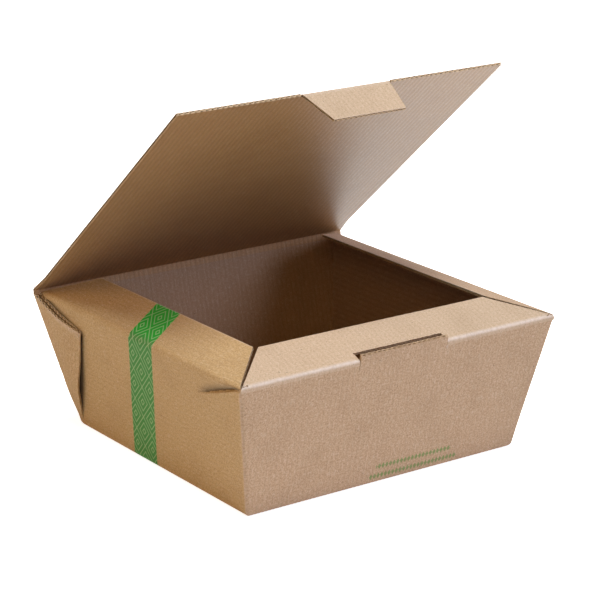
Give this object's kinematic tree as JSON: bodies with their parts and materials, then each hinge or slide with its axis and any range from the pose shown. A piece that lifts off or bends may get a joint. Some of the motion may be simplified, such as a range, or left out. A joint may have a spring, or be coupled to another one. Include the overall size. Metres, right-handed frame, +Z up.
{
  "type": "takeaway box",
  "caption": "Corrugated board takeaway box with leaning walls, rim flaps, and a hinged lid whose tuck tab goes in a slot behind the front crease.",
  "frame": {"origin": "middle of the base, at the height of the surface that the box stands on", "axes": "+Z up, the front wall with the slot towards -Y, the lid's hinge towards +Y, +X to the right seen from the front"},
  "size_m": [0.2178, 0.2108, 0.2137],
  "materials": {
    "kraft_tray": "matt brown kraft corrugated board",
    "kraft_lid": "matt brown kraft corrugated board, flutes showing through",
    "kraft_flap": "matt brown kraft corrugated board"
  },
  "bodies": {
    "tray": {"tray": "kraft_tray"},
    "lid": {"lid": "kraft_lid"},
    "tuck_tab": {"tuck_tab": "kraft_lid"},
    "left_rim_flap": {"left_rim_flap": "kraft_flap"},
    "right_rim_flap": {"right_rim_flap": "kraft_flap"},
    "front_rim_flap": {"front_rim_flap": "kraft_flap"}
  },
  "joints": [
    {"name": "lid_hinge", "type": "hinge", "parent": "tray", "child": "lid", "pos_m": [0, 0.10447, 0.08155], "axis": [-1, 0, 0], "range_deg": [-40, 60]},
    {"name": "tab_fold", "type": "hinge", "parent": "lid", "child": "tuck_tab", "pos_m": [0, -0.05178, 0.21266], "axis": [1, 0, 0], "range_deg": [-46.5, 31]},
    {"name": "left_flap_fold", "type": "hinge", "parent": "tray", "child": "left_rim_flap", "pos_m": [-0.1041, 0, 0.07975], "axis": [0, -1, 0], "range_deg": [-18, 27]},
    {"name": "right_flap_fold", "type": "hinge", "parent": "tray", "child": "right_rim_flap", "pos_m": [0.1041, 0, 0.07975], "axis": [0, 1, 0], "range_deg": [-18, 27]},
    {"name": "front_flap_fold", "type": "hinge", "parent": "tray", "child": "front_rim_flap", "pos_m": [0, -0.10406, 0.07975], "axis": [1, 0, 0], "range_deg": [-18, 27]}
  ],
  "couplings": [
    {"joint": "tab_fold", "follows": "lid_hinge", "ratio": -0.775},
    {"joint": "left_flap_fold", "follows": "lid_hinge", "ratio": 0.45},
    {"joint": "right_flap_fold", "follows": "lid_hinge", "ratio": 0.45},
    {"joint": "front_flap_fold", "follows": "lid_hinge", "ratio": 0.45}
  ]
}
